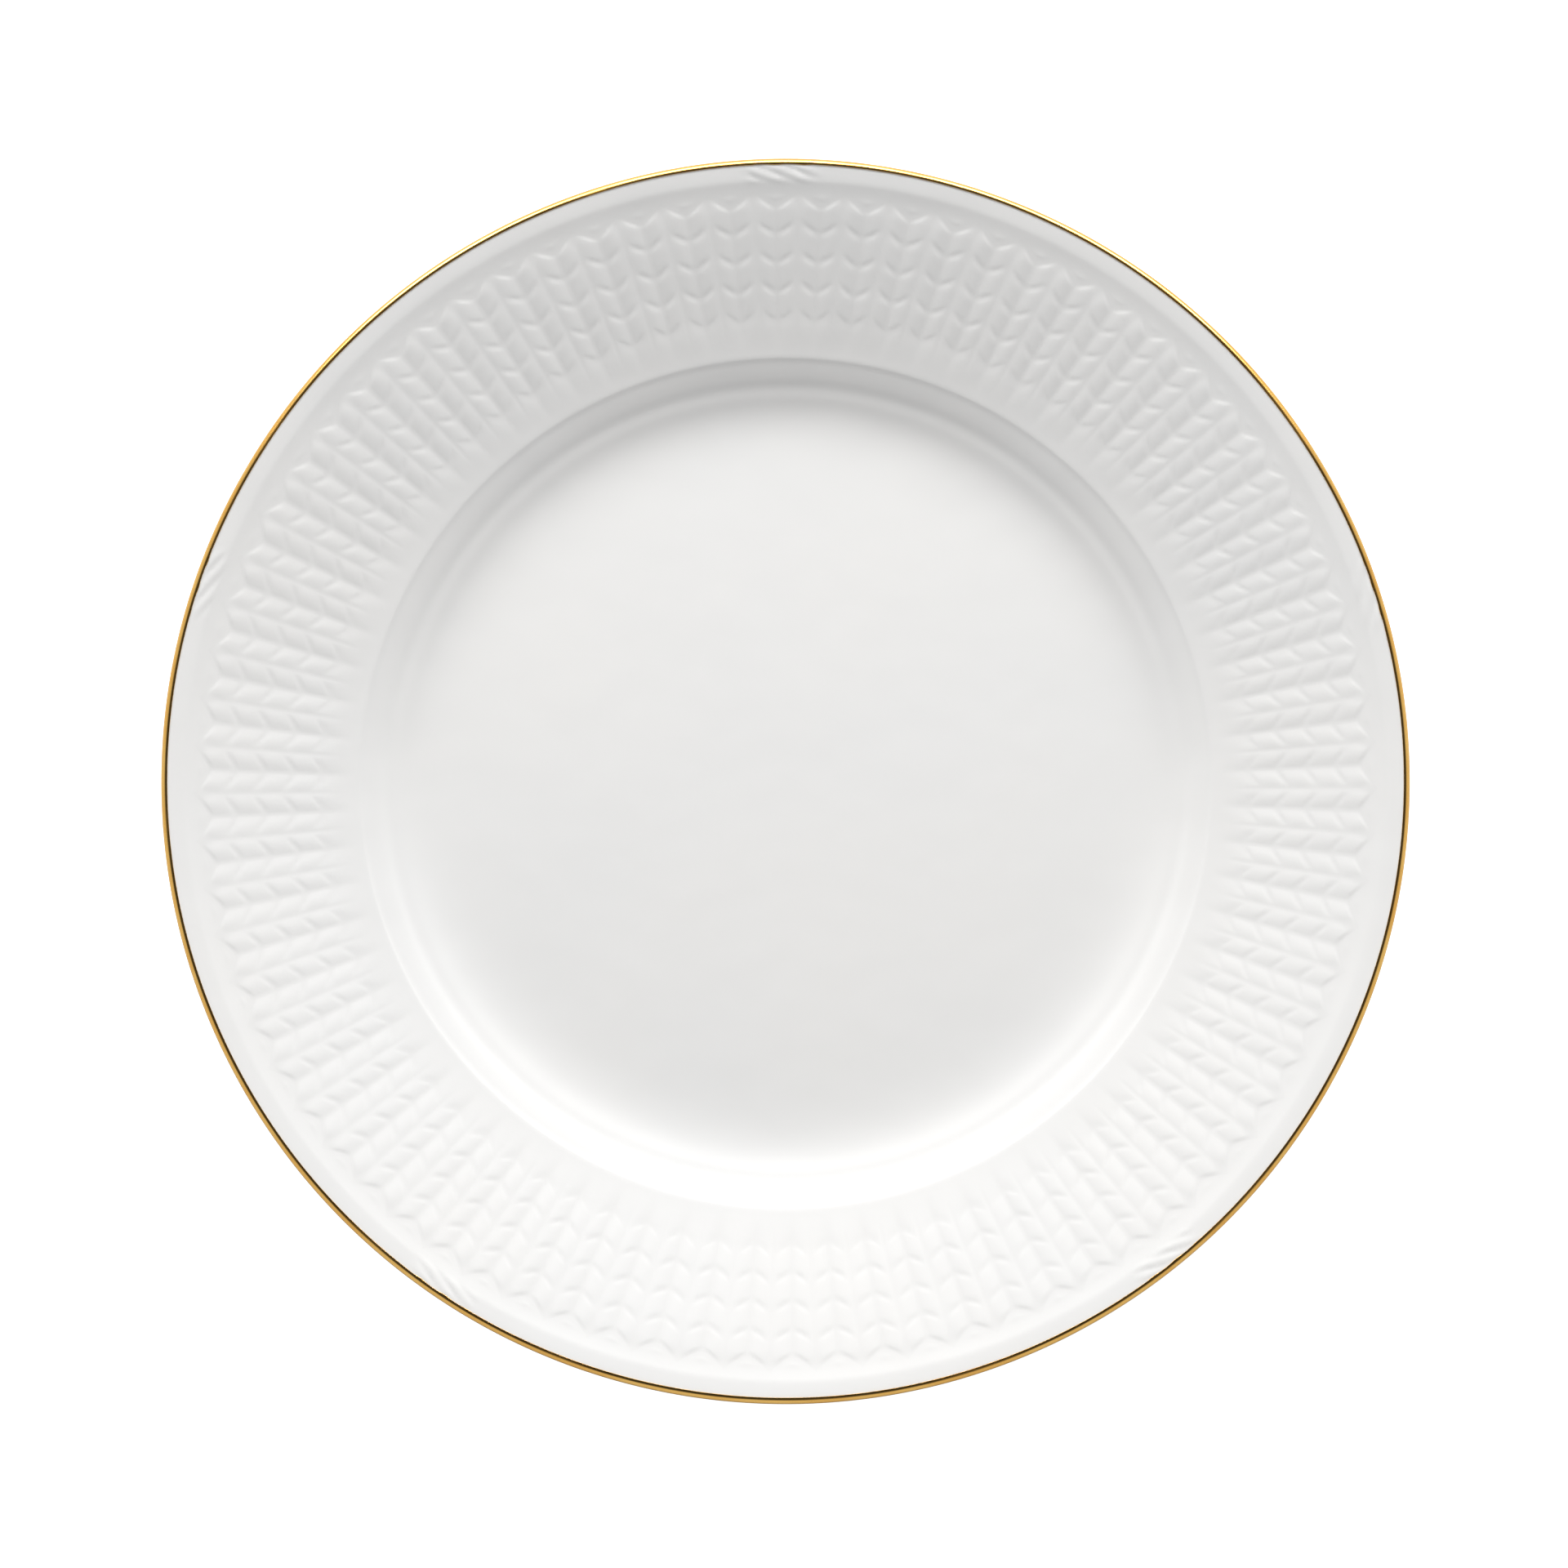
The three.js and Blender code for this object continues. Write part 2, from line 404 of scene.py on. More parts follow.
# where the face's rings stand, from the lip inwards
mouldRadii = np.array([133.45, 133.2, 132.8, 132.3, 131.8, 131.3, 130.8, 130.3, 129.8, 129.4, 128.9, 128.4])
fieldShares = [0.88, 0.76, 0.66, 0.57, 0.48, 0.42, 0.36, 0.3, 0.24, 0.18, 0.09]
creaseRadii = [92.8, 92.6, 92.4, 92.25, 92.1, 91.95, 91.8, 91.6, 91.3, 90.8, 90.0, 89.2]
bendRadii = [88.6, 88.2, 87.8, 87.4, 87.0, 86.6, 86.2, 85.7, 85.2, 84.7, 84.2, 83.5, 82.7]
curveRadii = [81.8, 80.8, 79.6, 78.4, 77.0, 75.6, 74.0, 72.5, 71.0, 69.0, 67.0, 64.0]
wallRadii = creaseRadii + bendRadii + curveRadii
floorRadii = [60.0, 54.0, 46.0, 36.0, 24.0, 12.0, 4.0]
floorRadiiCoarse = [48.0, 24.0, 8.0]

# painted shade: darker in the grooves, the field before the first row and the crease, where the glaze also
# lies thicker
paintedShade = {
    "field": 0.25,  # share of full painted shade between the moulding and the first row
    "fieldEdge": 0.9,
    "fieldBlend": 0.5,
    "clearHeight": 0.6,  # share of a grain's height above which no shade is painted
    "stemFade": (0.2, 0.8),
    "crease": 0.35,
    "creaseFrom": 92.8,
    "creaseTo": 91.2,
    "creaseBlend": 0.5,
}


def addFace(shell, drop, fine):
    # the face from the top of the lip to the centre, lowered by a distance
    step = 1 if fine else 2
    angles, u = ringAngles[::step], across[::step]
    grid = alongGrain if fine else alongGrainCoarse
    mouldEnd = mouldRadii[-1]
    p = paintedShade
    for radius in mouldRadii if fine else mouldRadii[1::2]:
        lifted = fluteHeight(angles, radius)
        shell.ring(radius, faceHeight(np.full(len(u), radius)) + lifted - drop, angles)
    edge = edgeRadius(0, u)
    for t in fieldShares if fine else [0.5]:
        radius = mixed(edge, mouldEnd, t)
        lifted = fieldHeight(u, t)
        # painted shade in the field between the moulding and the first row
        paintedShadeShare = p["field"] * smooth((p["fieldEdge"] - t) / p["fieldBlend"])
        shell.ring(radius, faceHeight(radius) + lifted - drop, angles, paintedShadeShare)
    for row in range(relief["rows"]):
        outside, inside = edgeRadius(row, u), edgeRadius(row + 1, u)
        for t in grid:
            radius = mixed(outside, inside, t)
            lifted = grainHeight(row, u, t)
            # painted shade: the lower a place on a grain, the darker its glaze is painted
            paintedShadeShare = np.clip(1 - lifted / (p["clearHeight"] * relief["grainHeight"]), 0, 1)
            if row == relief["rows"] - 1:
                paintedShadeShare = paintedShadeShare * (1 - eased(t, *p["stemFade"]))
            shell.ring(radius, faceHeight(radius) + lifted - drop, angles, paintedShadeShare)
    for radius in wallRadii if fine else wallRadii[::3]:
        # painted shade along the crease just inside the rim
        outer = smooth((p["creaseFrom"] - radius) / p["creaseBlend"])
        paintedShadeShare = p["crease"] * outer * eased(radius, p["creaseTo"], p["creaseBlend"])
        shell.ring(radius, faceHeight(radius) - drop, wallAngles[fine], paintedShadeShare)
    for radius in floorRadii if fine else floorRadiiCoarse:
        shell.ring(radius, faceHeight(radius) - drop, floorAngles)
    shell.pole(float(faceHeight(np.zeros(1))[0]) - drop)


# materials


def newMaterial(name):
    material = bpy.data.materials.new(name)
    material.use_nodes = True
    nodes = material.node_tree.nodes
    return material, nodes, material.node_tree.links, nodes["Principled BSDF"]


def newGroup(name, inputs, outputs):
    group = bpy.data.node_groups.new(name, "ShaderNodeTree")
    for label, kind, value in inputs:
        socket = group.interface.new_socket(label, in_out="INPUT", socket_type=kind)
        socket.default_value = value
    for label, kind in outputs:
        group.interface.new_socket(label, in_out="OUTPUT", socket_type=kind)
    given, out = group.nodes.new("NodeGroupInput"), group.nodes.new("NodeGroupOutput")
    return group, group.nodes, group.links, given, out


def maths(nodes, links, kind, a, b=None, c=None, clamp=False):
    node = nodes.new("ShaderNodeMath")
    node.operation = kind
    node.use_clamp = clamp
    for socket, value in zip(node.inputs, (a, b, c)):
        if value is None:
            continue
        if isinstance(value, (int, float)):
            socket.default_value = value
        else:
            links.new(value, socket)
    return node.outputs[0]


def mapRange(nodes, links, value, low, high, toLow=0.0, toHigh=1.0):
    node = nodes.new("ShaderNodeMapRange")
    node.interpolation_type = "SMOOTHSTEP"
    for socket, number in zip(node.inputs, (value, low, high, toLow, toHigh)):
        if isinstance(number, (int, float)):
            socket.default_value = number
        else:
            links.new(number, socket)
    return node.outputs[0]


def mixColour(nodes, links, share, a, b):
    node = nodes.new("ShaderNodeMix")
    node.data_type = "RGBA"
    for socket, value in zip((node.inputs[0], node.inputs[6], node.inputs[7]), (share, a, b)):
        if isinstance(value, (int, float)):
            socket.default_value = value
        elif isinstance(value, tuple):
            socket.default_value = (*value, 1.0)
        else:
            links.new(value, socket)
    return node.outputs[2]


def noise(nodes, links, vector, scale, detail=2.0, roughness=0.5):
    node = nodes.new("ShaderNodeTexNoise")
    links.new(vector, node.inputs["Vector"])
    for socket, value in (("Scale", scale), ("Detail", detail), ("Roughness", roughness)):
        if isinstance(value, (int, float)):
            node.inputs[socket].default_value = value
        else:
            links.new(value, node.inputs[socket])
    return node.outputs["Fac"]


noiseSpan = (0.3, 0.7)  # where nearly all of a noise's values lie


def makeToneDrift():
    # slow drift between two close tones, as fired glaze has
    group, nodes, links, given, out = newGroup(
        "toneDrift",
        [
            ("Position", "NodeSocketVector", (0, 0, 0)),
            ("Scale", "NodeSocketFloat", 14.0),
            ("Cool", "NodeSocketColor", (0.9, 0.9, 0.9, 1)),
            ("Warm", "NodeSocketColor", (0.9, 0.9, 0.88, 1)),
        ],
        [("Color", "NodeSocketColor")],
    )
    slow = noise(nodes, links, given.outputs["Position"], given.outputs["Scale"], 3.0)
    share = mapRange(nodes, links, slow, *noiseSpan)
    colour = mixColour(nodes, links, share, given.outputs["Cool"], given.outputs["Warm"])
    links.new(colour, out.inputs["Color"])
    return group


speckCore = 0.4  # share of a speck's radius that is fully dark


def makeKilnSpecks():
    # sparse round specks: a cell holds one when its own random value is high enough
    group, nodes, links, given, out = newGroup(
        "kilnSpecks",
        [
            ("Position", "NodeSocketVector", (0, 0, 0)),
            ("Cells", "NodeSocketFloat", 90.0),
            ("Size", "NodeSocketFloat", 0.03),
            ("Rarity", "NodeSocketFloat", 0.93),
        ],
        [("Mask", "NodeSocketFloat")],
    )
    cell = nodes.new("ShaderNodeTexVoronoi")
    cell.feature = "F1"
    links.new(given.outputs["Position"], cell.inputs["Vector"])
    links.new(given.outputs["Cells"], cell.inputs["Scale"])
    split = nodes.new("ShaderNodeSeparateColor")
    links.new(cell.outputs["Color"], split.inputs[0])
    chosen = maths(nodes, links, "GREATER_THAN", split.outputs[0], given.outputs["Rarity"])
    radius = maths(nodes, links, "MULTIPLY", split.outputs[1], given.outputs["Size"])
    inner = maths(nodes, links, "MULTIPLY", radius, speckCore)
    spot = mapRange(nodes, links, cell.outputs["Distance"], inner, radius, 1.0, 0.0)
    links.new(maths(nodes, links, "MULTIPLY", spot, chosen), out.inputs["Mask"])
    return group


def makeGlazeRipple():
    # height of the fired surface: a slow swell with a finer orange peel on it
    group, nodes, links, given, out = newGroup(
        "glazeRipple",
        [
            ("Position", "NodeSocketVector", (0, 0, 0)),
            ("Swell", "NodeSocketFloat", 60.0),
            ("Peel", "NodeSocketFloat", 420.0),
            ("Peel Share", "NodeSocketFloat", 0.15),
        ],
        [("Height", "NodeSocketFloat")],
    )
    swell = noise(nodes, links, given.outputs["Position"], given.outputs["Swell"], 1.0)
    peel = noise(nodes, links, given.outputs["Position"], given.outputs["Peel"], 2.0)
    height = maths(nodes, links, "MULTIPLY_ADD", peel, given.outputs["Peel Share"], swell)
    links.new(height, out.inputs["Height"])
    return group


hairlineStretch = 0.004  # metres of pattern for each radian round the rim
patchBlend = 0.25


def makeFineWear():
    # patchy hairlines along the rim's direction: rubbed gilding, foot ring and table contact
    group, nodes, links, given, out = newGroup(
        "fineWear",
        [
            ("Position", "NodeSocketVector", (0, 0, 0)),
            ("Patches", "NodeSocketFloat", 30.0),
            ("Hairlines", "NodeSocketFloat", 900.0),
            ("Cover", "NodeSocketFloat", 0.5),
        ],
        [("Mask", "NodeSocketFloat"), ("Lines", "NodeSocketFloat")],
    )
    split = nodes.new("ShaderNodeSeparateXYZ")
    links.new(given.outputs["Position"], split.inputs[0])
    squareX = maths(nodes, links, "MULTIPLY", split.outputs[0], split.outputs[0])
    squareY = maths(nodes, links, "MULTIPLY", split.outputs[1], split.outputs[1])
    flat = maths(nodes, links, "SQRT", maths(nodes, links, "ADD", squareX, squareY))
    turn = maths(nodes, links, "ARCTAN2", split.outputs[1], split.outputs[0])
    rolled = nodes.new("ShaderNodeCombineXYZ")
    links.new(flat, rolled.inputs[0])
    links.new(maths(nodes, links, "MULTIPLY", turn, hairlineStretch), rolled.inputs[1])
    links.new(split.outputs[2], rolled.inputs[2])
    lines = noise(nodes, links, rolled.outputs[0], given.outputs["Hairlines"], 3.0, 0.6)
    patches = noise(nodes, links, given.outputs["Position"], given.outputs["Patches"], 3.0)
    least = maths(nodes, links, "SUBTRACT", 1.0, given.outputs["Cover"])
    patch = mapRange(nodes, links, patches, least, maths(nodes, links, "ADD", least, patchBlend))
    links.new(maths(nodes, links, "MULTIPLY", patch, lines), out.inputs["Mask"])
    links.new(lines, out.inputs["Lines"])
    return group


groups = {
    "toneDrift": makeToneDrift(),
    "kilnSpecks": makeKilnSpecks(),
    "glazeRipple": makeGlazeRipple(),
    "fineWear": makeFineWear(),
}


def place(nodes, links, group, position, **values):
    node = nodes.new("ShaderNodeGroup")
    node.node_tree = groups[group]
    links.new(position, node.inputs["Position"])
    for label, value in values.items():
        socket = node.inputs[label]
        socket.default_value = (*value, 1.0) if isinstance(value, tuple) else value
    return node


def objectPosition(nodes):
    return nodes.new("ShaderNodeTexCoord").outputs["Object"]


def bump(nodes, links, shader, height, strength, distance):
    node = nodes.new("ShaderNodeBump")
    node.inputs["Strength"].default_value = strength
    node.inputs["Distance"].default_value = distance
    links.new(height, node.inputs["Height"])
    links.new(node.outputs["Normal"], shader.inputs["Normal"])


def glazeMaterial(name, look):
    material, nodes, links, shader = newMaterial(name)
    position = objectPosition(nodes)
    tone = place(nodes, links, "toneDrift", position, **look["tone"])
    specks = place(nodes, links, "kilnSpecks", position, **look["specks"]).outputs["Mask"]
    scuffs = place(nodes, links, "fineWear", position, **look["scuffs"]).outputs["Mask"]
    ripple = place(nodes, links, "glazeRipple", position, **look["ripple"]).outputs["Height"]
    colour = tone.outputs["Color"]
    # painted shade: the colour is mixed towards a darker grey where the attribute marks grooves and the
    # crease
    if look["paintedShade"]:
        paintedShadeLayer = nodes.new("ShaderNodeAttribute")
        paintedShadeLayer.attribute_name = "paintedShade"
        share = maths(nodes, links, "MULTIPLY", paintedShadeLayer.outputs["Fac"], look["paintedShade"])
        colour = mixColour(nodes, links, share, colour, look["paintedShadeColour"])
    share = maths(nodes, links, "MULTIPLY", specks, look["speckStrength"])
    colour = mixColour(nodes, links, share, colour, look["speckColour"])
    links.new(colour, shader.inputs["Base Color"])
    rough = maths(nodes, links, "MULTIPLY_ADD", scuffs, look["scuffRoughness"], look["roughness"])
    rough = maths(nodes, links, "MULTIPLY_ADD", specks, look["speckRoughness"], rough)
    links.new(rough, shader.inputs["Roughness"])
    shader.inputs["IOR"].default_value = look["refraction"]
    height = maths(nodes, links, "MULTIPLY_ADD", specks, -look["speckPit"], ripple)
    bump(nodes, links, shader, height, look["rippleStrength"], look["rippleDistance"])
    return material


faceGlaze = {
    "roughness": 0.11,
    "refraction": 1.5,
    "tone": {"Scale": 16.0, "Cool": (0.9, 0.899, 0.895), "Warm": (0.912, 0.907, 0.898)},
    "paintedShade": 0.5,  # strength of the painted shade in the grooves, where the glaze is also thicker
    "paintedShadeColour": (0.876, 0.873, 0.866),
    "specks": {"Cells": 55.0, "Size": 0.02, "Rarity": 0.86},
    "speckStrength": 0.5,
    "speckColour": (0.5, 0.45, 0.4),
    "speckRoughness": 0.3,
    "speckPit": 0.4,
    "scuffs": {"Patches": 22.0, "Hairlines": 1400.0, "Cover": 0.42},
    "scuffRoughness": 0.12,
    "ripple": {"Swell": 70.0, "Peel": 600.0, "Peel Share": 0.06},
    "rippleStrength": 0.35,
    "rippleDistance": 0.0004,
}

backGlaze = dict(
    faceGlaze,
    roughness=0.13,
    paintedShade=0.0,
    specks={"Cells": 55.0, "Size": 0.02, "Rarity": 0.8},
    ripple={"Swell": 70.0, "Peel": 600.0, "Peel Share": 0.12},
    rippleStrength=0.5,
)

recessGlaze = dict(
    backGlaze,
    tone={"Scale": 16.0, "Cool": (0.9, 0.899, 0.895), "Warm": (0.905, 0.897, 0.88)},
    specks={"Cells": 55.0, "Size": 0.02, "Rarity": 0.72},
    speckStrength=0.6,
    ripple={"Swell": 110.0, "Peel": 600.0, "Peel Share": 0.12},
)

biscuit = {
    "roughness": 0.82,
    "tone": {"Scale": 60.0, "Cool": (0.84, 0.83, 0.8), "Warm": (0.88, 0.85, 0.79)},
    "specks": {"Cells": 500.0, "Size": 0.3, "Rarity": 0.9},
    "speckStrength": 0.6,
    "speckColour": (0.42, 0.36, 0.3),
    "scuffs": {"Patches": 60.0, "Hairlines": 1600.0, "Cover": 0.55},
    "scuffStrength": 0.7,
    "scuffColour": (0.5, 0.49, 0.47),
    "scuffPolish": 0.25,  # how much smoother the rubbed places are
    "grain": {"Swell": 650.0, "Peel": 2600.0, "Peel Share": 0.8},
    "grainStrength": 0.6,
    "grainDistance": 0.0002,
}


def biscuitMaterial(name, look):
    material, nodes, links, shader = newMaterial(name)
    position = objectPosition(nodes)
    tone = place(nodes, links, "toneDrift", position, **look["tone"]).outputs["Color"]
    specks = place(nodes, links, "kilnSpecks", position, **look["specks"]).outputs["Mask"]
    scuffs = place(nodes, links, "fineWear", position, **look["scuffs"]).outputs["Mask"]
    grain = place(nodes, links, "glazeRipple", position, **look["grain"]).outputs["Height"]
    share = maths(nodes, links, "MULTIPLY", scuffs, look["scuffStrength"])
    colour = mixColour(nodes, links, share, tone, look["scuffColour"])
    share = maths(nodes, links, "MULTIPLY", specks, look["speckStrength"])
    colour = mixColour(nodes, links, share, colour, look["speckColour"])
    links.new(colour, shader.inputs["Base Color"])
    rough = maths(nodes, links, "MULTIPLY_ADD", scuffs, -look["scuffPolish"], look["roughness"])
    links.new(rough, shader.inputs["Roughness"])
    bump(nodes, links, shader, grain, look["grainStrength"], look["grainDistance"])
    return material


gilt = {
    "roughness": 0.19,
    "tone": {"Scale": 90.0, "Cool": (0.95, 0.585, 0.17), "Warm": (0.88, 0.49, 0.12)},
    "brushing": {"Patches": 45.0, "Hairlines": 1500.0, "Cover": 0.5},
    "rubbedRoughness": 0.2,
    "lineStrength": 0.4,
    "lineDistance": 0.00004,
}


def giltMaterial(name, look):
    material, nodes, links, shader = newMaterial(name)
    position = objectPosition(nodes)
    tone = place(nodes, links, "toneDrift", position, **look["tone"]).outputs["Color"]
    wear = place(nodes, links, "fineWear", position, **look["brushing"])
    links.new(tone, shader.inputs["Base Color"])
    rough = maths(
        nodes, links, "MULTIPLY_ADD", wear.outputs["Mask"], look["rubbedRoughness"], look["roughness"]
    )
    links.new(rough, shader.inputs["Roughness"])
    shader.inputs["Metallic"].default_value = 1.0
    bump(nodes, links, shader, wear.outputs["Lines"], look["lineStrength"], look["lineDistance"])
    return material


materials = {
    "body": biscuitMaterial("firedBiscuit", biscuit),
    "face": glazeMaterial("faceGlaze", faceGlaze),
    "back": glazeMaterial("backGlaze", backGlaze),
    "recess": glazeMaterial("recessGlaze", recessGlaze),
    "gilt": giltMaterial("gilding", gilt),
}
print("materials made:", len(materials))

# the pieces


def settle(piece, node):
    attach(piece, "root")
    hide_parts(node)
    return piece


# the underside's section, from the axis outwards
underside = {
    "recess": [(0, 3.6), (30, 3.6), (60, 3.6), (72, 3.6), (75.2, 3.52), (76.6, 3.0), (77.6, 2.1)],
    "foot": [
        (77.6, 2.1), (78.0, 1.2), (78.45, 0.35), (79.2, 0.0), (80.3, 0.0), (81.4, 0.0),
        (82.05, 0.3), (82.4, 0.85), (82.55, 1.3),
    ],
    "back": [
        (82.55, 1.3), (83.05, 2.55), (84.2, 4.0), (89.8, 7.9), (97, 11.2), (114, 16.75),
        (131, 22.15), (133.0, 22.72), (133.7, 22.82),
    ],
    "edgeWave": 0.16,  # how far the glaze's edge wanders at the foot
}
coatNear = lip["gap"]
coatFar = lip["gap"] + lip["glazeThickness"]
faceDrop = lip["glazeThickness"] + 0.02  # vertical drop to the coat's underside
bodyDrop = faceDrop + 0.04  # and to the body, clear of it


def makeBody():
    shell = Shell()
    shell.pole(underside["recess"][0][1])
    path = np.concatenate([
        spline(underside["recess"], 3)[1:-1],
        spline(underside["foot"], 4)[:-1],
        spline(underside["back"], 5)[:-1],
    ])
    for radius, height in path:
        shell.ring(radius, max(height, 0.0), coarseAngles)
    for degrees in range(-90, 91, 18):
        shell.ring(*rollPoint(bodyRoll, degrees), coarseAngles)
    addFace(shell, bodyDrop, False)
    return settle(shell.finish("bodyShape", materials["body"]), "porcelain_body")


def makeFaceCoat():
    shell = Shell()
    under = Shell()
    addFace(under, faceDrop, False)
    # the underside is the same walk the other way round, from the centre out to the lip
    for part in reversed(under.points):
        if len(part) == 1:
            shell.pole(part[0, 2])
        else:
            angles = np.arctan2(part[:, 1], part[:, 0])
            shell.ring(np.hypot(part[:, 0], part[:, 1]), part[:, 2], angles)
    for degrees in (90, 68, 46, 24, 2):
        shell.ring(*rollPoint(glazeInside, degrees), coarseAngles)
    for degrees in (2, 16, 30, 44, 58, 70, 80, 90):
        shell.ring(*rollPoint(glazeOutside, degrees), ringAngles)
    addFace(shell, 0.0, True)
    return settle(shell.finish("faceGlazeCoat", materials["face"]), "face_glaze")


def waver(angles, size, seed):
    # small irregular wave round the plate
    waves = [(7, 0.4), (13, 0.3), (29, 0.2), (53, 0.1)]
    return size * sum(a * np.sin(n * angles + seed * (k + 1.7)) for k, (n, a) in enumerate(waves))


def wanderingEdge(height, wave, stepsIn):
    # a coat's surface near its edge on the foot: the wave and the bead die away inwards
    fade = math.exp(-stepsIn / 2.0)
    return height + wave * fade * 0.9 + 0.2 * fade


def makeBackCoat():
    shell = Shell()
    path = spline(underside["back"], 6)
    visible = offsetPath(path, coatFar)
    hidden = offsetPath(path, coatNear)
    wave = waver(plainAngles, underside["edgeWave"], 1.0)
    # rounded edge just above the bare foot, then outwards to the lip
    edge = [(0.02, 0.25), (0.3, 0.03), (0.65, 0.0), (0.93, 0.1), (1.0, 0.35)]
    for share, back in edge:
        radius, height = mixed(hidden[0], visible[0], share)
        shell.ring(radius, height + back + wave, plainAngles)
    for k, (radius, height) in enumerate(visible[1:-1]):
        shell.ring(radius, wanderingEdge(height, wave, k), plainAngles)
    for degrees in range(-90, -1, 11):
        shell.ring(*rollPoint(glazeOutside, degrees), plainAngles)
    for degrees in (-2, -24, -46, -68, -90):
        shell.ring(*rollPoint(glazeInside, degrees), plainAngles)
    for k, (radius, height) in reversed(list(enumerate(hidden[1:-1]))[::2]):
        shell.ring(radius, wanderingEdge(height, wave, k), plainAngles)
    shell.close()
    return settle(shell.finish("backGlazeCoat", materials["back"]), "back_glaze")


def makeRecessCoat():
    shell = Shell()
    path = spline(underside["recess"], 5)[:-2]
    visible = offsetPath(path, coatFar)
    hidden = offsetPath(path, coatNear)
    wave = waver(plainAngles, underside["edgeWave"], 4.0)
    shell.pole(visible[0, 1])
    for k, (radius, height) in enumerate(visible[1:]):
        ease = math.exp((k + 1 - len(visible)) / 2.0)
        shell.ring(radius, height + abs(wave) * ease, plainAngles)
    for share, back in [(0.9, 0.12), (0.6, 0.03), (0.25, 0.06)]:
        radius, height = mixed(hidden[-1], visible[-1], share)
        shell.ring(radius - back * 0.3, height - 0.02, plainAngles)
    for radius, height in hidden[1:][::-1][::2]:
        shell.ring(radius, height, plainAngles)
    shell.pole(hidden[0, 1])
    made = shell.finish("recessGlazeCoat", materials["recess"])
    return settle(made, "foot_recess_glaze")


giltBand = {
    "segments": 16 * relief["columns"],
    "lowest": -45,  # degrees on the lip's roll, where the band ends outside
    "reach": 0.06,  # how far the band runs in over the moulding
    "scallop": 0.1,  # how much the slanting flutes move its inner edge
    "brushWave": 0.02,
    "leastReach": 0.02,
    # degrees round the roll, on the visible side and back on the hidden one
    "visibleTurns": (-41, -34, -25, -15, -5, 5, 15, 25, 34, 42, 50, 57, 64, 70, 76, 82, 87, 91),
    "hiddenTurns": (90, 75, 58, 40, 20, 0, -20, -43),
    # rounded lower edge: share of the thickness, and degrees above the lowest
    "lowerEdge": ((0.15, 2.0), (0.5, 0.4), (0.85, 1.2)),
    "innerStart": 0.04,  # how far inside the roll's top the inner edge begins
    # rounded inner edge: share of the reach and drop
    "innerEdge": ((0.4, 0.004), (0.75, 0.018), (0.93, 0.045), (1.0, 0.08), (0.98, 0.11)),
    "underEdge": (0.6, 0.005),  # the same for the edge's underside, with a rise
}


def makeGilding():
    g = giltBand
    shell = Shell()
    angles = np.linspace(0, 2 * math.pi, g["segments"], endpoint=False)
    phase, strength = flutePhase(angles, flutes["outer"])
    scallops = g["scallop"] * strength * np.sin(2 * math.pi * phase)
    reach = np.maximum(g["reach"] + scallops + waver(angles, g["brushWave"], 2.0), g["leastReach"])
    full, hidden = lip["rollRadius"], giltInside
    for share, rise in g["lowerEdge"]:
        shell.ring(*rollPoint(mixed(hidden, full, share), g["lowest"] + rise), angles)
    for degrees in g["visibleTurns"]:
        shell.ring(*rollPoint(full, degrees), angles)
    top, bottom = rollHeight + full, rollHeight + hidden
    inner = rollCentre - g["innerStart"]
    for share, drop in g["innerEdge"]:
        shell.ring(inner - reach * share, top - drop, angles)
    share, rise = g["underEdge"]
    shell.ring(inner - reach * share, bottom + rise, angles)
    for degrees in g["hiddenTurns"]:
        shell.ring(*rollPoint(hidden, degrees), angles)
    shell.close()
    return settle(shell.finish("gildedLip", materials["gilt"]), "gilt_rim_band")


pieces = [makeBody(), makeFaceCoat(), makeBackCoat(), makeRecessCoat(), makeGilding()]
for piece in pieces:
    triangles = sum(len(p.vertices) - 2 for p in piece.data.polygons)
    print("piece", piece.name, triangles, "triangles")

# floor, light and camera

studio = {
    "floorRings": (0.3, 1.0, 3.0, 9.0),
    "floorSegments": 96,
    "floorDrop": 0.0001,  # a hair under the foot ring
    "floorColour": (0.86, 0.86, 0.86),
    "fibreColour": (0.8, 0.8, 0.8),
    "fibreShare": 0.03,
    "floorGlow": 0.84,  # as the camera sees it
    "floorBounce": 0.05,  # and as it lights the plate
    "softboxTurn": 90.0,  # degrees: the light comes from behind, +Y
    "softboxHeight": 27.0,  # degrees above the table
    "softboxDistance": 1.25,
    "softboxSize": (2.0, 0.5),
    "softboxPower": 26.8,
    "softboxColour": (1.0, 0.995, 0.985),
    "wallLight": 0.72,
    "ceilingLight": 0.04,
    "ceilingFade": (0.55, 0.85),  # sine of the height at which the walls give way to the ceiling
}


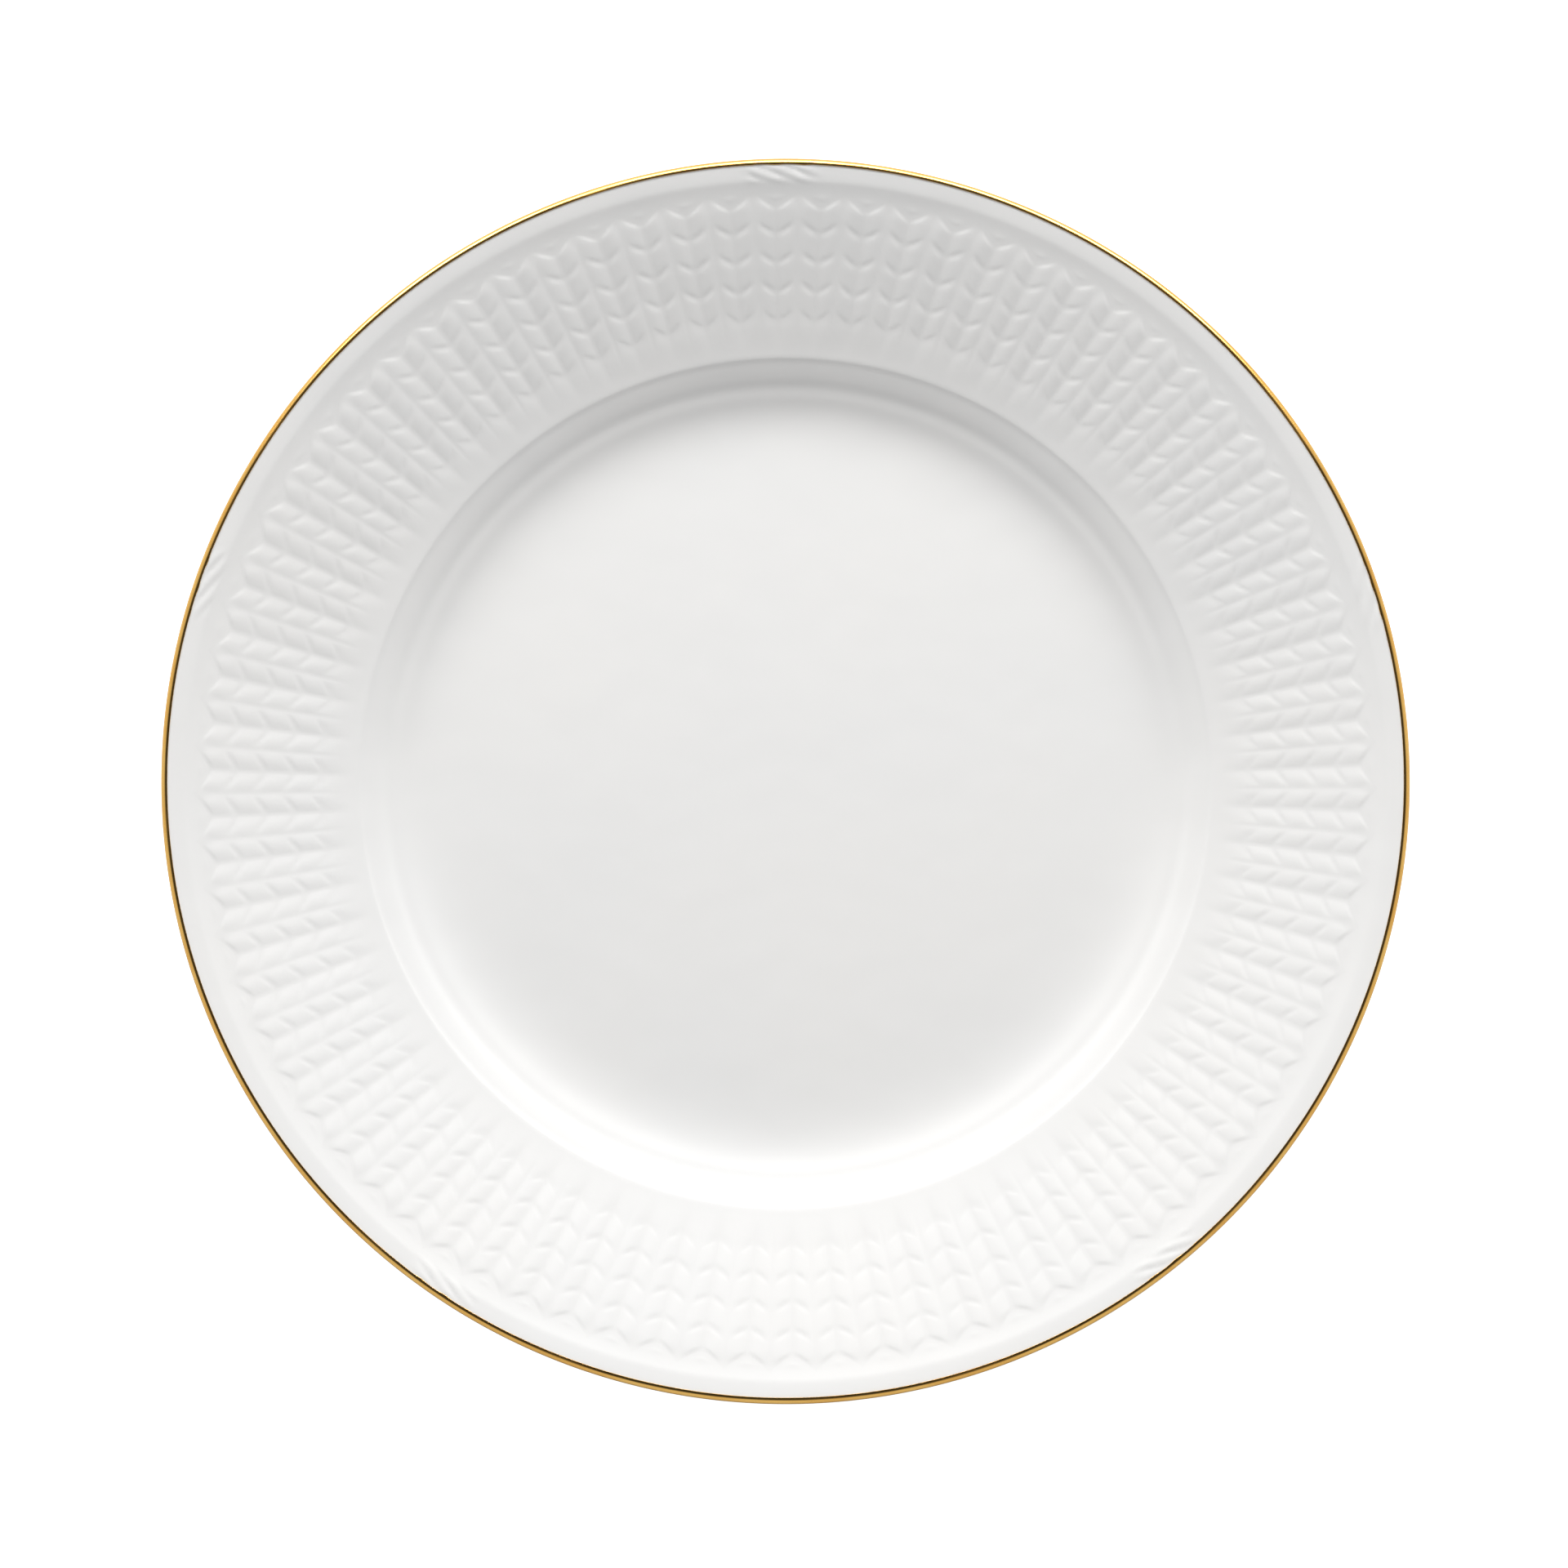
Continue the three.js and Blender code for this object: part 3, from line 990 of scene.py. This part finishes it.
def makeFloor(s):
    n = s["floorSegments"]
    turn = np.linspace(0, 2 * math.pi, n, endpoint=False)
    points = [(0.0, 0.0, 0.0)]
    faces = [(0, 1 + i, 1 + (i + 1) % n) for i in range(n)]
    for k, radius in enumerate(s["floorRings"]):
        points += [(radius * math.cos(a), radius * math.sin(a), 0.0) for a in turn]
        if k:
            a, b = 1 + (k - 1) * n, 1 + k * n
            faces += [(a + i, b + i, b + (i + 1) % n, a + (i + 1) % n) for i in range(n)]
    mesh = bpy.data.meshes.new("studioFloor")
    mesh.from_pydata(points, [], faces)
    floor = bpy.data.objects.new("studioFloor", mesh)
    floor.location.z = -s["floorDrop"]
    bpy.context.scene.collection.objects.link(floor)
    material, nodes, links, shader = newMaterial("paperFloor")
    position = objectPosition(nodes)
    fibre = noise(nodes, links, position, 40.0, 4.0)
    tone = mapRange(nodes, links, fibre, *noiseSpan, 0.0, s["fibreShare"])
    colour = mixColour(nodes, links, tone, s["floorColour"], s["fibreColour"])
    links.new(colour, shader.inputs["Base Color"])
    shader.inputs["Roughness"].default_value = 0.9
    shader.inputs["Specular IOR Level"].default_value = 0.2
    shader.inputs["Emission Color"].default_value = (1, 1, 1, 1)
    seen = nodes.new("ShaderNodeLightPath").outputs["Is Camera Ray"]
    glow = maths(nodes, links, "MULTIPLY_ADD", seen, s["floorGlow"] - s["floorBounce"], s["floorBounce"])
    links.new(glow, shader.inputs["Emission Strength"])
    mesh.materials.append(material)


def makeSoftbox(s):
    light = bpy.data.lights.new("softbox", "AREA")
    light.shape = "RECTANGLE"
    light.size, light.size_y = s["softboxSize"]
    light.energy = s["softboxPower"]
    light.color = s["softboxColour"]
    lamp = bpy.data.objects.new("softbox", light)
    turn, rise = math.radians(s["softboxTurn"]), math.radians(s["softboxHeight"])
    away = Vector((math.cos(turn) * math.cos(rise), math.sin(turn) * math.cos(rise), math.sin(rise)))
    lamp.location = away * s["softboxDistance"]
    lamp.rotation_euler = away.to_track_quat("Z", "Y").to_euler()
    lamp.visible_camera = False
    bpy.context.scene.collection.objects.link(lamp)


def makeWorld(s):
    # pale walls all round, with a dark ceiling over the table
    world = bpy.data.worlds.new("studioRoom")
    bpy.context.scene.world = world
    world.use_nodes = True
    nodes, links = world.node_tree.nodes, world.node_tree.links
    nodes.clear()
    split = nodes.new("ShaderNodeSeparateXYZ")
    links.new(nodes.new("ShaderNodeTexCoord").outputs["Generated"], split.inputs[0])
    fade = s["ceilingFade"]
    ceiling = mapRange(nodes, links, split.outputs[2], *fade, s["wallLight"], s["ceilingLight"])
    seen = nodes.new("ShaderNodeLightPath").outputs["Is Camera Ray"]
    shade = nodes.new("ShaderNodeCombineColor")
    level = maths(nodes, links, "MAXIMUM", ceiling, seen)
    for socket in shade.inputs[:3]:
        links.new(level, socket)
    background = nodes.new("ShaderNodeBackground")
    links.new(shade.outputs[0], background.inputs["Color"])
    links.new(background.outputs[0], nodes.new("ShaderNodeOutputWorld").inputs["Surface"])


cameraView = {
    "elevation": 86.0,
    "distance": 2.4,
    "frameWidth": 0.3388,  # what the frame shows at the lip's height
    "aim": (-0.00033, -0.00119),
    "sensorWidth": 36.0,
}


def makeCamera(c):
    camera = bpy.data.cameras.new("camera")
    camera.sensor_width = c["sensorWidth"]
    camera.lens = c["sensorWidth"] * c["distance"] / c["frameWidth"]
    camera.clip_end = 50.0
    made = bpy.data.objects.new("camera", camera)
    rise = math.radians(c["elevation"])
    back = Vector((0.0, -math.cos(rise), math.sin(rise)))
    target = Vector((*c["aim"], plateTop * mm))
    made.location = target + back * c["distance"]
    made.rotation_euler = back.to_track_quat("Z", "Y").to_euler()
    bpy.context.scene.collection.objects.link(made)
    bpy.context.scene.camera = made


makeFloor(studio)
makeSoftbox(studio)
makeWorld(studio)
makeCamera(cameraView)
bpy.context.scene.view_settings.view_transform = "Standard"
print("studio made")

bpy.context.view_layer.update()
